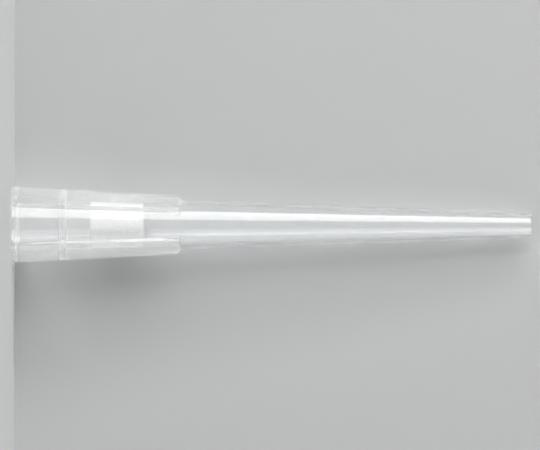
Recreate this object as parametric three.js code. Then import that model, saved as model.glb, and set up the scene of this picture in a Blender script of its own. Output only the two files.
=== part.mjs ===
import * as THREE from 'three';

// Wide-bore filter tip for a 200 microlitre pipette. Millimetres, +Z up.
// The tip stands on its mouth, the wide end that the pipette's nozzle is
// pushed into. The origin is the centre of the mouth's face, and the orifice
// that draws the sample is on top. The collar is thick on its left and right,
// along X, and has a thinner window in front and behind, along Y.

// Lengths along the axis
const tipLength = 50.0;
const collarLength = 16.1; // thick collar, from the mouth to its shoulder
const shoulderLength = 0.14; // steep step between the collar and the shaft
const leadInLength = 0.6; // flare that guides the nozzle in
const socketLength = 3.95; // taper that seals on the nozzle
const stopLength = 0.65; // ledge that ends the socket
const filterSetback = 2.3; // free bore between the ledge and the filter
const filterLength = 5.15;

// Diameters of the bore
const socketMouthDiameter = 5.74;
const socketEndDiameter = 5.06;
const boreDiameter = 4.66; // just past the ledge, the widest that liquid meets
const orificeDiameter = 1.82;

// Radial sizes of the moulding
const leadInDepth = 0.12; // how far the flare opens past the socket
const rimWidth = 0.69; // ring that the tip stands on, with its outer edge
const collarWall = 0.85; // at the shoulder
const shaftWall = 0.4; // at the shoulder
const orificeWall = 0.32;
const filterClearance = 0.02; // the real plug is pressed in; this keeps the solids apart

// Windows in the collar: each is sunk into the rim and ends flush with the shaft
const windowCount = 2;
const windowDepth = 0.2; // at the rim
const windowAngle = 56; // degrees round the axis, across the window's floor
const windowSideAngle = 6; // degrees that each side takes to rise to the collar

// Softened edges: how far from the sharp corner the curve begins
const rimEdge = 0.12;
const shoulderEdge = 0.1;
const shaftRootEdge = 0.1;
const orificeEdge = 0.14;
const orificeInnerEdge = 0.06;
const stopEdge = 0.06;
const leadInEdge = 0.1;
const filterEdge = 0.14;
const longestEdge = 0.42; // the most of a side that one softened edge may take, as a share of it

// Fineness of the surface
const facetsAround = 64; // shared by both pieces, so that their flats line up
const stepsPerEdge = 4;

// Heights and radii that follow from the sizes above
const stopHeight = leadInLength + socketLength;
const boreHeight = stopHeight + stopLength;
const filterHeight = boreHeight + filterSetback;
const shaftHeight = collarLength + shoulderLength;
const mouthRadius = socketMouthDiameter / 2 + leadInDepth + rimWidth;
const shaftRadius = boreRadius(shaftHeight) + shaftWall;

// The bore is one straight taper from the ledge to the orifice.
function boreRadius(height) {
  const along = (height - boreHeight) / (tipLength - boreHeight);
  return THREE.MathUtils.lerp(boreDiameter, orificeDiameter, along) / 2;
}

// A window's floor is one straight taper from the rim to the root of the shaft.
function windowRadius(height) {
  return THREE.MathUtils.lerp(mouthRadius - windowDepth, shaftRadius, height / shaftHeight);
}

// 0 over a window's floor, 1 over the thick collar, and between them up a side
function collarShare(turn) {
  const pitch = 360 / windowCount;
  const fromWindow = Math.abs(turn - pitch * Math.round(turn / pitch));
  const floorEnd = windowAngle / 2;
  return THREE.MathUtils.smoothstep(fromWindow, floorEnd, floorEnd + windowSideAngle);
}

// The points of an outline. Each corner is [radius, height, edge], and its edge
// is softened by a curve that starts and ends that far from it, or nearer on a
// short side. An outline that starts off the axis closes on itself.
function outline(corners) {
  const points = corners.map(([radius, height]) => new THREE.Vector2(radius, height));
  const path = new THREE.Path();
  points.forEach((corner, i) => {
    const edge = corners[i][2] ?? 0;
    const [start, end] = [points.at(i - 1), points[(i + 1) % points.length]].map((next) => {
      const side = next.clone().sub(corner);
      return corner.clone().add(side.setLength(Math.min(edge, side.length() * longestEdge)));
    });
    if (i === 0) path.moveTo(start.x, start.y);
    else path.lineTo(start.x, start.y);
    if (edge > 0) path.quadraticCurveTo(corner.x, corner.y, end.x, end.y);
  });
  if (points[0].x > 0) path.closePath();
  return path.getPoints(stepsPerEdge);
}

// Revolves an outline about the Z axis. A second outline with as many points
// gives the form where share is 0, and share is worked out from the turn in
// degrees, which starts at the front, on -Y.
function revolve(points, second = points, share = () => 1) {
  const geometry = new THREE.LatheGeometry(points, facetsAround);
  const positions = geometry.getAttribute('position');
  for (let i = 0; i < positions.count; i++) {
    const place = i % points.length;
    const turn = (360 * (i - place)) / points.length / facetsAround;
    const { x, y } = second[place].clone().lerp(points[place], share(turn));
    const ray = THREE.MathUtils.degToRad(turn);
    positions.setXYZ(i, x * Math.sin(ray), y, x * Math.cos(ray));
  }
  return geometry.rotateX(Math.PI / 2);
}

// Tip body: one moulding in clear-natural polypropylene, open at both ends
function tipBody() {
  const section = (rimRadius, collarRadius) => outline([
    [rimRadius, 0, rimEdge],
    [collarRadius, collarLength, shoulderEdge],
    [shaftRadius, shaftHeight, shaftRootEdge],
    [boreRadius(tipLength) + orificeWall, tipLength, orificeEdge],
    [boreRadius(tipLength), tipLength, orificeInnerEdge],
    [boreRadius(boreHeight), boreHeight, stopEdge],
    [socketEndDiameter / 2, stopHeight, stopEdge],
    [socketMouthDiameter / 2, leadInLength, leadInEdge],
    [socketMouthDiameter / 2 + leadInDepth, 0],
  ]);
  const throughCollar = section(mouthRadius, boreRadius(collarLength) + collarWall);
  const throughWindow = section(windowRadius(0), windowRadius(collarLength));
  const polypropylene = new THREE.MeshStandardMaterial({
    color: 0xdcdedd,
    roughness: 0.3,
    metalness: 0,
    transparent: true,
    opacity: 0.5,
  });
  const body = new THREE.Mesh(revolve(throughCollar, throughWindow, collarShare), polypropylene);
  body.name = 'tip_body';
  return body;
}

// Filter plug: porous sintered polyethylene, pressed into the collar's bore and
// so tapered like it
function filterPlug() {
  const radiusAt = (height) => boreRadius(height) - filterClearance;
  const section = outline([
    [0, 0],
    [radiusAt(filterHeight), 0, filterEdge],
    [radiusAt(filterHeight + filterLength), filterLength, filterEdge],
    [0, filterLength],
  ]);
  const porousPolyethylene = new THREE.MeshStandardMaterial({
    color: 0xf4f4f2,
    roughness: 0.95,
    metalness: 0,
  });
  const plug = new THREE.Mesh(revolve(section), porousPolyethylene);
  plug.name = 'filter_plug';
  plug.position.z = filterHeight;
  return plug;
}

const pipetteTip = new THREE.Group();
pipetteTip.add(tipBody(), filterPlug());

export default pipetteTip;
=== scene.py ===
import math

import bpy
from mathutils import Matrix, Vector, noise


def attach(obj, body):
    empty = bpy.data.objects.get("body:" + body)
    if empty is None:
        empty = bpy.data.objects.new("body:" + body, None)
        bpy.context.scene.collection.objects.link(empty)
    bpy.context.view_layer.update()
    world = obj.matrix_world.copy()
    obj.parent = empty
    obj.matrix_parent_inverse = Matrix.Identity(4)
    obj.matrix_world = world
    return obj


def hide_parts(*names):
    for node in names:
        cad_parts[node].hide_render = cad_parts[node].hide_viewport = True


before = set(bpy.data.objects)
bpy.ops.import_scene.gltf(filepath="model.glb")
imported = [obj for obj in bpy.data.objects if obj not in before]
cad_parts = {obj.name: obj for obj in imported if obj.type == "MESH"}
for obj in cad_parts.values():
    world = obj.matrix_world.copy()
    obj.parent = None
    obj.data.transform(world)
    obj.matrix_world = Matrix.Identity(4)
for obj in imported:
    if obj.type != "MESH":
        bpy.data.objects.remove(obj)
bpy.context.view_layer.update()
scene = bpy.context.scene
scene.view_settings.view_transform = "Standard"

# Tip body: one injection moulding in clear-natural polypropylene, open at both
# ends. The mouth, below, takes the pipette's nozzle. The thick collar has a
# thinner window in front and behind, and ends in a shoulder on the plain shaft.
MM = 0.001  # the sizes of both pieces are in millimetres
TIP_LENGTH = 50.0
COLLAR_LENGTH = 16.1
SHOULDER_LENGTH = 0.14
LEAD_IN_LENGTH = 0.6
SOCKET_LENGTH = 3.95
STOP_LENGTH = 0.65
SOCKET_MOUTH_DIAMETER = 5.74
SOCKET_END_DIAMETER = 5.06
BORE_DIAMETER = 4.66
ORIFICE_DIAMETER = 1.82
LEAD_IN_DEPTH = 0.12
RIM_WIDTH = 0.69
COLLAR_WALL = 0.85
SHAFT_WALL = 0.4
ORIFICE_WALL = 0.32
WINDOW_DEPTH = 0.2
WINDOW_ANGLE = 56.0  # degrees round the axis, across a window's floor
WINDOW_SIDE_ANGLE = 6.0  # degrees that each side takes to rise to the collar
WINDOW_PITCH = 180  # degrees from one window's middle to the other's
STOP_HEIGHT = LEAD_IN_LENGTH + SOCKET_LENGTH
BORE_HEIGHT = STOP_HEIGHT + STOP_LENGTH
SHAFT_HEIGHT = COLLAR_LENGTH + SHOULDER_LENGTH
MOUTH_RADIUS = SOCKET_MOUTH_DIAMETER / 2 + LEAD_IN_DEPTH + RIM_WIDTH

# softened edges: how far from the sharp corner each curve begins
RIM_EDGE = 0.12
RIM_INNER_EDGE = 0.03
SHOULDER_EDGE = 0.1
SHAFT_ROOT_EDGE = 0.1
ORIFICE_EDGE = 0.14
ORIFICE_INNER_EDGE = 0.06
STOP_EDGE = 0.06
LEAD_IN_EDGE = 0.1
LONGEST_EDGE = 0.42  # the most of a side that one curve may take, as a share

# fineness of the mesh
EDGE_STEPS = 8
ROW_LENGTH = 3.0  # along the long sides of the section
FIRST_ROW = 0.04  # the short row beside each curve, as a share of its side
COLUMNS = 480  # round the whole tip
SIDE_COLUMNS = 12  # more of them up each side of a window
SIDE_OVERRUN = 0.05  # how far those run past both ends of the side, as a share
NARROWEST_COLUMN = 0.2  # degrees


def bore_radius(height):
    """The bore is one straight taper from the ledge to the orifice."""
    along = (height - BORE_HEIGHT) / (TIP_LENGTH - BORE_HEIGHT)
    return (BORE_DIAMETER + (ORIFICE_DIAMETER - BORE_DIAMETER) * along) / 2


def window_radius(height):
    """A window's floor runs from the rim to the root of the shaft."""
    rim, root = MOUTH_RADIUS - WINDOW_DEPTH, bore_radius(SHAFT_HEIGHT) + SHAFT_WALL
    return rim + (root - rim) * height / SHAFT_HEIGHT


def softened(corners):
    """Rounds the corners (radius, height, edge) of a closed section, and cuts
    the sides between them into rows, with a short one beside each curve."""
    count = len(corners)
    ends = []
    for i, (radius, height, edge) in enumerate(corners):
        here = Vector((radius, height))
        pair = []
        for other in (corners[i - 1], corners[(i + 1) % count]):
            side = Vector(other[:2]) - here
            pair.append(here + side.normalized() * min(edge, side.length * LONGEST_EDGE))
        ends.append(pair)
    points = []
    for i, corner in enumerate(corners):
        here = Vector(corner[:2])
        start, end = ends[i]
        for k in range(EDGE_STEPS + 1):
            t = k / EDGE_STEPS
            points.append(start * (1 - t) ** 2 + here * 2 * t * (1 - t) + end * t * t)
        after = ends[(i + 1) % count][0]
        side = Vector(corners[(i + 1) % count][:2]) - here
        rows = max(1, round(side.length / ROW_LENGTH))
        for k in range(rows + 1):
            points.append(end.lerp(after, FIRST_ROW + (1 - 2 * FIRST_ROW) * k / rows))
    return points


def body_section(rim_radius, collar_radius):
    """The wall cut through the axis, up its outside and down its bore."""
    return softened([
        (rim_radius, 0, RIM_EDGE),
        (collar_radius, COLLAR_LENGTH, SHOULDER_EDGE),
        (bore_radius(SHAFT_HEIGHT) + SHAFT_WALL, SHAFT_HEIGHT, SHAFT_ROOT_EDGE),
        (bore_radius(TIP_LENGTH) + ORIFICE_WALL, TIP_LENGTH, ORIFICE_EDGE),
        (bore_radius(TIP_LENGTH), TIP_LENGTH, ORIFICE_INNER_EDGE),
        (bore_radius(BORE_HEIGHT), BORE_HEIGHT, STOP_EDGE),
        (SOCKET_END_DIAMETER / 2, STOP_HEIGHT, STOP_EDGE),
        (SOCKET_MOUTH_DIAMETER / 2, LEAD_IN_LENGTH, LEAD_IN_EDGE),
        (SOCKET_MOUTH_DIAMETER / 2 + LEAD_IN_DEPTH, 0, RIM_INNER_EDGE),
    ])


def collar_share(turn):
    """0 over a window's floor, 1 over the thick collar, in degrees from -Y."""
    from_window = abs((turn + WINDOW_PITCH / 2) % WINDOW_PITCH - WINDOW_PITCH / 2)
    rise = min(max((from_window - WINDOW_ANGLE / 2) / WINDOW_SIDE_ANGLE, 0), 1)
    return rise * rise * (3 - 2 * rise)


def body_turns():
    """Degrees from -Y of all the columns, closest up the windows' sides."""
    turns = {round(360 * k / COLUMNS, 4) for k in range(COLUMNS)}
    for window in (0, WINDOW_PITCH):
        for direction in (-1, 1):
            for k in range(SIDE_COLUMNS + 1):
                share = (1 + 2 * SIDE_OVERRUN) * k / SIDE_COLUMNS - SIDE_OVERRUN
                from_window = WINDOW_ANGLE / 2 + WINDOW_SIDE_ANGLE * share
                turns.add(round((window + direction * from_window) % 360, 4))
    first, *others = sorted(turns)
    kept = [first]
    for turn in others:
        if turn - kept[-1] > NARROWEST_COLUMN:
            kept.append(turn)
    return kept


def new_piece(name, verts, faces):
    mesh = bpy.data.meshes.new(name)
    mesh.from_pydata(verts, [], faces)
    mesh.polygons.foreach_set("use_smooth", [True] * len(mesh.polygons))
    mesh.update()
    piece = bpy.data.objects.new(name, mesh)
    scene.collection.objects.link(piece)
    return piece


through_collar = body_section(MOUTH_RADIUS, bore_radius(COLLAR_LENGTH) + COLLAR_WALL)
through_window = body_section(window_radius(0), window_radius(COLLAR_LENGTH))
turns = body_turns()
verts = []
for turn in turns:
    share = collar_share(turn)
    ray = math.radians(turn)
    for low, high in zip(through_window, through_collar):
        radius, height = low.lerp(high, share) * MM
        verts.append((radius * math.sin(ray), -radius * math.cos(ray), height))
faces = []
rows = len(through_collar)
for i in range(len(turns)):
    here, after = i * rows, (i + 1) % len(turns) * rows
    for j in range(rows):
        k = (j + 1) % rows
        faces.append((here + j, after + j, after + k, here + k))
body = new_piece("clear_body", verts, faces)

# The plastic is clear but for a thin haze right through it, which scatters
# light. Its skin is smooth, and a little milkier up the shaft.
NATURAL = (0.955, 0.965, 0.965)
REFRACTION = 1.49
HAZE = 500.0  # scattering, per metre
HAZE_AHEAD = 0.3  # how far the scattered light keeps its direction
COLLAR_CLEARNESS = 0.99
SHAFT_CLEARNESS = 0.95
CLEAR_END = 0.5  # where the collar's clearness ends, in collar lengths
MILKY_START = 1.1  # where the shaft's begins
RING_MILK = 0.5  # clearness that a milky line takes away
SIDE_MILK = 0.15
RING_LINE = 0.08  # half the width of a line round the bore
SIDE_LINE = 3.2  # degrees, half the width of a line up a window's side
IN_BORE = 2.9  # lines round the bore lie within this radius
OUTSIDE = 2.7  # lines up the windows' sides lie beyond this one
PATCHES = 900.0  # to the metre, across the tip
PATCH_STRETCH = 0.25
PATCH_LOW, PATCH_HIGH = 0.3, 0.7  # the noise that the range of gloss is spread over
GLOSSIEST, DULLEST = 0.055, 0.07


def new_material(name):
    """A material, its node tree and its main shader."""
    material = bpy.data.materials.new(name)
    material.use_nodes = True
    return material, material.node_tree, material.node_tree.nodes["Principled BSDF"]


def set_inputs(node, values):
    for name, value in values.items():
        node.inputs[name].default_value = value


def math_node(operation, *values):
    """A sum in the node tree in hand, on numbers or on other nodes' outputs."""
    node = tree.nodes.new("ShaderNodeMath")
    node.operation = operation
    for socket, value in zip(node.inputs, values):
        if isinstance(value, (int, float)):
            socket.default_value = value
        else:
            tree.links.new(value, socket)
    return node.outputs[0]


def line_at(value, centre, half_width):
    """1 where value is at the centre of a fine line, falling to 0 beside it."""
    away = math_node("ABSOLUTE", math_node("SUBTRACT", value, centre))
    left = math_node("SUBTRACT", 1.0, math_node("DIVIDE", away, half_width))
    return math_node("MAXIMUM", left, 0.0)


plastic, tree, shader = new_material("polypropylene")
set_inputs(shader, {"Base Color": (*NATURAL, 1), "IOR": REFRACTION})
haze = tree.nodes.new("ShaderNodeVolumeScatter")
set_inputs(haze, {"Density": HAZE, "Anisotropy": HAZE_AHEAD})
tree.links.new(haze.outputs[0], tree.nodes["Material Output"].inputs["Volume"])

# the mould's edges leave fine milky lines: at the lead-in and the ledge round
# the bore, and up the sides of each window to a little short of the shoulder
coordinates = tree.nodes.new("ShaderNodeTexCoord")
place = tree.nodes.new("ShaderNodeSeparateXYZ")
tree.links.new(coordinates.outputs["Object"], place.inputs[0])
x, y, z = place.outputs
from_axis = math_node("SQRT", math_node(
    "ADD", math_node("MULTIPLY", x, x), math_node("MULTIPLY", y, y)))
in_bore = math_node("LESS_THAN", from_axis, IN_BORE * MM)
lead_in, ledge_start, ledge_end = (
    line_at(z, height * MM, RING_LINE * MM)
    for height in (LEAD_IN_LENGTH, STOP_HEIGHT, BORE_HEIGHT)
)
rings = math_node("MAXIMUM", lead_in, math_node("MAXIMUM", ledge_start, ledge_end))
rings = math_node("MULTIPLY", in_bore, rings)
outside = math_node("GREATER_THAN", from_axis, OUTSIDE * MM)
in_collar = math_node("LESS_THAN", z, COLLAR_LENGTH * MM)
from_y = math_node("ARCTAN2", math_node("ABSOLUTE", x), math_node("ABSOLUTE", y))
mid_side = WINDOW_ANGLE / 2 + WINDOW_SIDE_ANGLE / 2
sides = line_at(from_y, math.radians(mid_side), math.radians(SIDE_LINE))
sides = math_node("MULTIPLY", math_node("MULTIPLY", outside, in_collar), sides)
milky = math_node("MAXIMUM", math_node("MULTIPLY", rings, RING_MILK),
                  math_node("MULTIPLY", sides, SIDE_MILK))
clearness = tree.nodes.new("ShaderNodeMapRange")
set_inputs(clearness, {
    "From Min": CLEAR_END * COLLAR_LENGTH * MM, "To Min": COLLAR_CLEARNESS,
    "From Max": MILKY_START * COLLAR_LENGTH * MM, "To Max": SHAFT_CLEARNESS,
})
tree.links.new(z, clearness.inputs[0])
tree.links.new(math_node("SUBTRACT", clearness.outputs[0], milky),
               shader.inputs["Transmission Weight"])

# the skin is a little less glossy in soft patches drawn out along the tip
drawn = tree.nodes.new("ShaderNodeMapping")
set_inputs(drawn, {"Scale": (1, 1, PATCH_STRETCH)})
tree.links.new(coordinates.outputs["Object"], drawn.inputs[0])
patches = tree.nodes.new("ShaderNodeTexNoise")
set_inputs(patches, {"Scale": PATCHES})
tree.links.new(drawn.outputs[0], patches.inputs[0])
gloss = tree.nodes.new("ShaderNodeMapRange")
set_inputs(gloss, {
    "From Min": PATCH_LOW, "To Min": GLOSSIEST,
    "From Max": PATCH_HIGH, "To Max": DULLEST,
})
tree.links.new(patches.outputs[0], gloss.inputs[0])
tree.links.new(gloss.outputs[0], shader.inputs["Roughness"])
body.data.materials.append(plastic)
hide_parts("tip_body")
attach(body, "root")

# Filter plug: a short cylinder of white polyethylene beads, sintered together
# with open pores between them, and pressed into the collar's bore, whose taper
# it takes.
FILTER_SETBACK = 2.3
FILTER_LENGTH = 5.15
FILTER_CLEARANCE = 0.02
FILTER_EDGE = 0.14
FILTER_HEIGHT = BORE_HEIGHT + FILTER_SETBACK
FILTER_TOP = FILTER_HEIGHT + FILTER_LENGTH
GRAIN = 0.09  # between neighbouring points of its surface
FILTER_EDGE_STEPS = 4
BEAD_SIZE = 0.22
PORE_DEPTH = 0.04
PORE_LEAN = 0.6  # how far the pores lean along the axis, at the plug's ends

low_radius = bore_radius(FILTER_HEIGHT) - FILTER_CLEARANCE
top_radius = bore_radius(FILTER_TOP) - FILTER_CLEARANCE
side_length = FILTER_LENGTH - 2 * FILTER_EDGE
plug_columns = round(2 * math.pi * low_radius / GRAIN)
side_rows = round(side_length / GRAIN)
face_rings = round((low_radius - FILTER_EDGE) / GRAIN)
profile = []
for k in range(1, face_rings):
    profile.append((k * (low_radius - FILTER_EDGE) / face_rings, FILTER_HEIGHT))
for k in range(FILTER_EDGE_STEPS):
    slope = math.pi / 2 * k / FILTER_EDGE_STEPS
    profile.append((low_radius - FILTER_EDGE * (1 - math.sin(slope)),
                    FILTER_HEIGHT + FILTER_EDGE * (1 - math.cos(slope))))
for k in range(side_rows + 1):
    along = k / side_rows
    profile.append((low_radius + (top_radius - low_radius) * along,
                    FILTER_HEIGHT + FILTER_EDGE + side_length * along))
for k in range(1, FILTER_EDGE_STEPS + 1):
    slope = math.pi / 2 * k / FILTER_EDGE_STEPS
    profile.append((top_radius - FILTER_EDGE * (1 - math.cos(slope)),
                    FILTER_TOP - FILTER_EDGE * (1 - math.sin(slope))))
for k in range(face_rings - 1, 0, -1):
    profile.append((k * (top_radius - FILTER_EDGE) / face_rings, FILTER_TOP))


def pitted(point):
    """Sinks a point of the plug's surface where it lies between beads."""
    nearest = noise.voronoi(point / BEAD_SIZE)[0][0]
    middle = Vector((0, 0, FILTER_HEIGHT + FILTER_LENGTH / 2))
    inwards = Vector((-point.x, -point.y, PORE_LEAN * (middle.z - point.z))).normalized()
    return (point + inwards * PORE_DEPTH * min(nearest * nearest, 1.0)) * MM


verts = [pitted(Vector((0, 0, FILTER_HEIGHT))), pitted(Vector((0, 0, FILTER_TOP)))]
for radius, height in profile:
    for k in range(plug_columns):
        ray = 2 * math.pi * k / plug_columns
        verts.append(pitted(Vector((radius * math.cos(ray), radius * math.sin(ray), height))))
faces = []
for i in range(len(profile) - 1):
    for k in range(plug_columns):
        j = (k + 1) % plug_columns
        low, high = 2 + i * plug_columns, 2 + (i + 1) * plug_columns
        faces.append((low + k, low + j, high + j, high + k))
last = 2 + (len(profile) - 1) * plug_columns
for k in range(plug_columns):
    j = (k + 1) % plug_columns
    faces.append((0, 2 + j, 2 + k))
    faces.append((1, last + k, last + j))
plug = new_piece("porous_plug", verts, faces)

# Light soaks a little way into the beads. Finer beads than the mesh has are bumped
# in with pits between them, and darker towards their rims: painted shade of the pits.
BEAD_WHITE = (0.81, 0.81, 0.80)
# painted shade: the darker grey at the beads' rims, round the pits
PAINTED_PIT_SHADE = (0.75, 0.75, 0.74)
BEAD_WHITE_END = 0.2  # on the way out from a bead's middle
PAINTED_PIT_SHADE_START = 0.9
BEAD_ROUGHNESS = 0.9
SOAKED_SHARE = 0.7  # of the light that leaves the beads
SOAK_DEPTH = 0.5
FINE_BEAD_SIZE = 0.5 * BEAD_SIZE
FINE_PIT_STRENGTH = 0.25
FINE_PIT_DEPTH = 0.05

porous, tree, shader = new_material("porous polyethylene")
set_inputs(shader, {
    "Roughness": BEAD_ROUGHNESS,
    "Subsurface Weight": SOAKED_SHARE,
    "Subsurface Radius": (1, 1, 1),
    "Subsurface Scale": SOAK_DEPTH * MM,
})
coordinates = tree.nodes.new("ShaderNodeTexCoord")
beads = tree.nodes.new("ShaderNodeTexVoronoi")
set_inputs(beads, {"Scale": 1 / (FINE_BEAD_SIZE * MM)})
tree.links.new(coordinates.outputs["Object"], beads.inputs["Vector"])
# painted shade: the ramp darkens each fine bead from its middle out to its rim
bead_white_and_painted_shade = tree.nodes.new("ShaderNodeValToRGB")
middle, rim = bead_white_and_painted_shade.color_ramp.elements
middle.position, middle.color = BEAD_WHITE_END, (*BEAD_WHITE, 1)
rim.position, rim.color = PAINTED_PIT_SHADE_START, (*PAINTED_PIT_SHADE, 1)
tree.links.new(beads.outputs["Distance"], bead_white_and_painted_shade.inputs[0])
tree.links.new(bead_white_and_painted_shade.outputs[0], shader.inputs["Base Color"])
pits = tree.nodes.new("ShaderNodeBump")
pits.invert = True
set_inputs(pits, {"Strength": FINE_PIT_STRENGTH, "Distance": FINE_PIT_DEPTH * MM})
tree.links.new(beads.outputs["Distance"], pits.inputs["Height"])
tree.links.new(pits.outputs[0], shader.inputs["Normal"])
plug.data.materials.append(porous)
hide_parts("filter_plug")
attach(plug, "root")

# Floor and backing card: matt pale grey paper. The tip stands on the floor,
# with the card leaning close behind it, so that its shadow falls on the card.
# Mirrored rays pass the floor, and the card is seen from its front only.
FLOOR_PAPER = (0.84, 0.845, 0.845)
FLOOR_REACH = (0.6, 0.9)  # from the tip along X and Y, in metres
CARD_PAPER = (0.56, 0.565, 0.565)
CARD_REACH = 0.3
CARD_HEIGHT = 0.3
CARD_AT_MOUTH = 0.00535  # behind the tip's axis
CARD_AT_ORIFICE = 0.00210
PAPER_ROUGHNESS = 0.9
PAPER_SHINE = 0.2


def paper(name, colour, kind, output):
    """Matt paper that is clear to the rays for which this output of a node of
    this kind is 1."""
    material, tree, shader = new_material(name)
    set_inputs(shader, {
        "Base Color": (*colour, 1),
        "Roughness": PAPER_ROUGHNESS,
        "Specular IOR Level": PAPER_SHINE,
    })
    rays = tree.nodes.new(kind)
    clear = tree.nodes.new("ShaderNodeBsdfTransparent")
    either = tree.nodes.new("ShaderNodeMixShader")
    tree.links.new(rays.outputs[output], either.inputs[0])
    tree.links.new(shader.outputs[0], either.inputs[1])
    tree.links.new(clear.outputs[0], either.inputs[2])
    tree.links.new(either.outputs[0], tree.nodes["Material Output"].inputs[0])
    return material


floor_x, floor_y = FLOOR_REACH
floor = new_piece("floor", [(-floor_x, -floor_y, 0), (floor_x, -floor_y, 0),
                            (floor_x, floor_y, 0), (-floor_x, floor_y, 0)], [(0, 1, 2, 3)])
floor.data.materials.append(
    paper("floor paper", FLOOR_PAPER, "ShaderNodeLightPath", "Is Glossy Ray"))
card_lean = (CARD_AT_ORIFICE - CARD_AT_MOUTH) * CARD_HEIGHT / (TIP_LENGTH * MM)
card_top = CARD_AT_MOUTH + card_lean
card = new_piece("card", [(-CARD_REACH, CARD_AT_MOUTH, 0), (CARD_REACH, CARD_AT_MOUTH, 0),
                          (CARD_REACH, card_top, CARD_HEIGHT),
                          (-CARD_REACH, card_top, CARD_HEIGHT)], [(0, 1, 2, 3)])
card.data.materials.append(
    paper("card paper", CARD_PAPER, "ShaderNodeNewGeometry", "Backfacing"))

# Lamps: a softbox and a narrow strip on one side of the camera, which draw the
# long highlights down the tip, a broad weak one on the other side, and an even
# room light that fills the shadows.
LAMP_DISTANCE = 0.5
LAMP_FOOT = -0.30
LAMP_TOP = 0.40
ROOM_GREY, ROOM_LIGHT = 0.5, 0.15  # what lights the tip
SEEN_GREY, SEEN_LIGHT = 1.0, 0.3  # what shows behind it and in its surfaces


def softbox(name, turn, width, radiance):
    """An upright area lamp that faces the tip, turn degrees from -Y to -X."""
    lamp = bpy.data.lights.new(name, "AREA")
    lamp.shape = "RECTANGLE"
    lamp.size = width
    lamp.size_y = LAMP_TOP - LAMP_FOOT
    lamp.energy = radiance * math.pi * lamp.size * lamp.size_y
    holder = bpy.data.objects.new(name, lamp)
    scene.collection.objects.link(holder)
    away = Vector((-math.sin(math.radians(turn)), -math.cos(math.radians(turn)), 0))
    up = Vector((0, 0, 1))
    holder.location = away * LAMP_DISTANCE + up * (LAMP_FOOT + LAMP_TOP) / 2
    holder.rotation_euler = Matrix((up.cross(away), up, away)).transposed().to_euler()
    holder.visible_camera = False


softbox("softbox", turn=40.0, width=0.27, radiance=4.2)
softbox("rim strip", turn=61.5, width=0.11, radiance=8.0)
softbox("low side", turn=-66.0, width=0.50, radiance=1.6)


def background(grey, strength):
    node = tree.nodes.new("ShaderNodeBackground")
    set_inputs(node, {"Color": (grey, grey, grey, 1), "Strength": strength})
    return node.outputs[0]


world = bpy.data.worlds.new("room")
scene.world = world
world.use_nodes = True
tree = world.node_tree
tree.nodes.clear()
rays = tree.nodes.new("ShaderNodeLightPath").outputs
seen = math_node("MAXIMUM", rays["Is Camera Ray"], rays["Is Glossy Ray"])
seen = math_node("MAXIMUM", seen, rays["Is Transmission Ray"])
mix = tree.nodes.new("ShaderNodeMixShader")
tree.links.new(seen, mix.inputs[0])
tree.links.new(background(ROOM_GREY, ROOM_LIGHT), mix.inputs[1])
tree.links.new(background(SEEN_GREY, SEEN_LIGHT), mix.inputs[2])
tree.links.new(mix.outputs[0], tree.nodes.new("ShaderNodeOutputWorld").inputs[0])

# light runs a long way round inside a clear wall before it leaves, and is not
# blurred on its way
LIGHT_TURNS = 64
HAZE_TURNS = 32
scene.cycles.max_bounces = LIGHT_TURNS
scene.cycles.transmission_bounces = LIGHT_TURNS
scene.cycles.glossy_bounces = LIGHT_TURNS
scene.cycles.volume_bounces = HAZE_TURNS
scene.cycles.blur_glossy = 0.0

# Camera: level with the tip's middle and square to it, turned on its side so
# that the tip lies across the picture with its mouth to the left.
CAMERA_PLACE = (-0.00002, -0.560, 0.02484)
CAMERA_ROLL = 0.077  # degrees more than a quarter turn
CAMERA_LENS = 387.3
CAMERA_SENSOR = 36.0

camera_data = bpy.data.cameras.new("camera")
camera_data.sensor_width = CAMERA_SENSOR
camera_data.lens = CAMERA_LENS
camera_data.clip_start = 0.01
camera_data.clip_end = 10.0
camera = bpy.data.objects.new("camera", camera_data)
scene.collection.objects.link(camera)
on_its_side = Matrix(((0, -1, 0), (0, 0, -1), (1, 0, 0))).to_4x4()
roll = Matrix.Rotation(math.radians(CAMERA_ROLL), 4, "Z")
camera.matrix_world = Matrix.Translation(CAMERA_PLACE) @ on_its_side @ roll
scene.camera = camera
